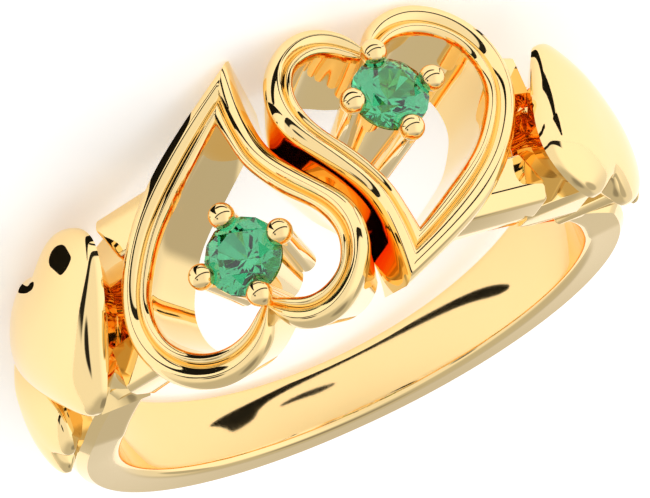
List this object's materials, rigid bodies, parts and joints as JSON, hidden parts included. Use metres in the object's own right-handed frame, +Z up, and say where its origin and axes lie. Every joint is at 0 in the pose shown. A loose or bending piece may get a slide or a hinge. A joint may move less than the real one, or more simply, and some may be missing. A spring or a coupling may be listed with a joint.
{
  "type": "two-stone ring",
  "caption": "Gold finger ring with two open hearts side by side on its head, a small round green stone held by prongs in each, and plain puffed hearts on its shoulders.",
  "frame": {"origin": "middle of the bounding box, on the floor that the ring lies on", "axes": "+Z up with the ring lying on its side, -Y towards the head with the two hearts, +Y towards the back of the shank"},
  "size_m": [0.0224, 0.023, 0.0095],
  "materials": {
    "gold": "mirror-polished yellow gold",
    "green_stone": "faceted and polished"
  },
  "bodies": {
    "root": {"ring_body": "gold", "stone_left": "green_stone", "stone_right": "green_stone"}
  },
  "joints": []
}
